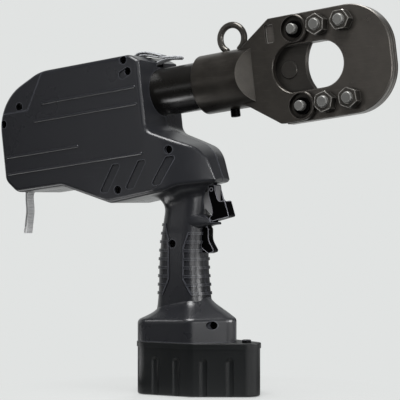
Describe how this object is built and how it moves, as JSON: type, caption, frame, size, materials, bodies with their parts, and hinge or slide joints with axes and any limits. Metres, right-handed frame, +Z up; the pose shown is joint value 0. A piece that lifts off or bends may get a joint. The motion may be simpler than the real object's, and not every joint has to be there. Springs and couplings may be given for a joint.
{
  "type": "cordless conductor cutter",
  "caption": "Battery powered hydraulic cutter with a pistol grip, an inclined cylinder and a closed head whose blade slides across a round opening.",
  "frame": {"origin": "centre of the bounding box in plan, on the plane of the battery's base", "axes": "+X towards the cutting head, +Y to the left of the user, +Z up"},
  "size_m": [0.3952, 0.074, 0.3489],
  "materials": {
    "housing_plastic": "fine spark-eroded texture, charcoal black",
    "battery_plastic": "fine texture, black",
    "trigger_plastic": "smooth, glossy black",
    "switch_plastic": "smooth mid grey",
    "black_screw": "black oxide",
    "tube_black": "glossy black coating",
    "head_steel": "dark burnished steel, satin",
    "blade_steel": "dark hardened tool steel, ground edge",
    "eye_steel": "dark oiled steel",
    "bolt_steel": "dark plated steel, bright bolt ends",
    "bright_steel": "ground steel",
    "aluminium_cast": "machined",
    "motor_steel": "zinc plated can",
    "rubber_black": "smooth",
    "terminal_plastic": "smooth",
    "cell_wrap": "shrink wrap",
    "contact_brass": "bright",
    "webbing": "grey woven polyester webbing"
  },
  "bodies": {
    "housing": {"housing_right": "housing_plastic", "housing_left": "housing_plastic", "rear_cap": "housing_plastic", "housing_screws": "black_screw", "cap_screws": "black_screw", "strap_sleeves": "bright_steel", "strap_front": "webbing", "strap_rear": "webbing", "cylinder_tube": "tube_black", "rod_gland": "bright_steel", "tube_clamp": "aluminium_cast", "clamp_screws": "black_screw", "pump_body": "aluminium_cast", "pump_plunger": "bright_steel", "shaft_bearings": "bright_steel", "oil_bladder": "rubber_black", "release_valve": "aluminium_cast", "motor_can": "motor_steel", "trigger_switch": "switch_plastic", "trigger_pin": "bright_steel", "release_pin": "bright_steel", "terminal_block": "terminal_plastic", "return_spring": "bright_steel", "trigger_spring": "bright_steel"},
    "head": {"yoke": "head_steel", "yoke_latch": "head_steel", "lifting_eye": "eye_steel", "collar_screw": "black_screw", "near_plate": "head_steel", "far_plate": "head_steel", "blade_guide": "head_steel", "frame_bolts": "bolt_steel", "frame_nuts": "bolt_steel", "ear_pins": "bolt_steel", "pin_rings": "black_screw"},
    "ram_and_blade": {"ram": "bright_steel", "piston_seal": "rubber_black", "blade_pin": "bright_steel", "moving_blade": "blade_steel"},
    "rotor": {"motor_rotor": "bright_steel", "pinion": "bright_steel"},
    "drive": {"drive_gear": "bright_steel", "eccentric_shaft": "bright_steel"},
    "upper_lever": {"upper_trigger": "trigger_plastic"},
    "release_lever": {"lower_trigger": "trigger_plastic"},
    "release_link": {"release_rod": "bright_steel"},
    "battery": {"battery_case": "battery_plastic", "battery_lid": "battery_plastic", "battery_cells": "cell_wrap", "battery_contacts": "contact_brass", "button_spring": "bright_steel"},
    "latch_button": {"battery_button": "trigger_plastic"}
  },
  "joints": [
    {"name": "head_swivel", "type": "hinge", "parent": "housing", "child": "head", "pos_m": [0.04736, 0, 0.28731], "axis": [0.9925, 0, 0.1219], "range_deg": [-180, 180]},
    {"name": "blade_stroke", "type": "slide", "parent": "head", "child": "ram_and_blade", "axis": [0.9925, 0, 0.1219], "range_m": [0, 0.038], "stiffness_N_per_m": 1500, "springref_m": -0.02, "deforming": ["return_spring"]},
    {"name": "motor_spin", "type": "hinge", "parent": "housing", "child": "rotor", "pos_m": [-0.10232, 0, 0.21805], "axis": [0.9925, 0, 0.1219], "continuous": true},
    {"name": "drive_spin", "type": "hinge", "parent": "housing", "child": "drive", "pos_m": [-0.12935, 0, 0.24949], "axis": [0.9925, 0, 0.1219], "continuous": true},
    {"name": "trigger_pull", "type": "hinge", "parent": "housing", "child": "upper_lever", "pos_m": [0.01771, 0, 0.1869], "axis": [0, 1, 0], "range_deg": [0, 8], "stiffness_Nm_per_rad": 0.4, "springref_deg": -5.73, "deforming": ["trigger_spring"]},
    {"name": "release_rod_lift", "type": "slide", "parent": "housing", "child": "release_link", "axis": [-0.5105, 0, 0.8599], "range_m": [0, 0.00107]},
    {"name": "release_pull", "type": "hinge", "parent": "housing", "child": "release_lever", "pos_m": [0.00441, 0, 0.1498], "axis": [0, 1, 0], "range_deg": [0, 10], "stiffness_Nm_per_rad": 0.3, "springref_deg": -5.73},
    {"name": "battery_slide", "type": "slide", "parent": "housing", "child": "battery", "axis": [0, 0, -1], "range_m": [0, 0.04]},
    {"name": "battery_button_press", "type": "slide", "parent": "battery", "child": "latch_button", "axis": [0, 0, -1], "range_m": [0, 0.002], "stiffness_N_per_m": 600, "springref_m": -0.002, "deforming": ["button_spring"]}
  ],
  "couplings": [
    {"joint": "motor_spin", "follows": "drive_spin", "ratio": -3.6},
    {"joint": "release_pull", "follows": "release_rod_lift", "rad_per_m": 163.42}
  ]
}
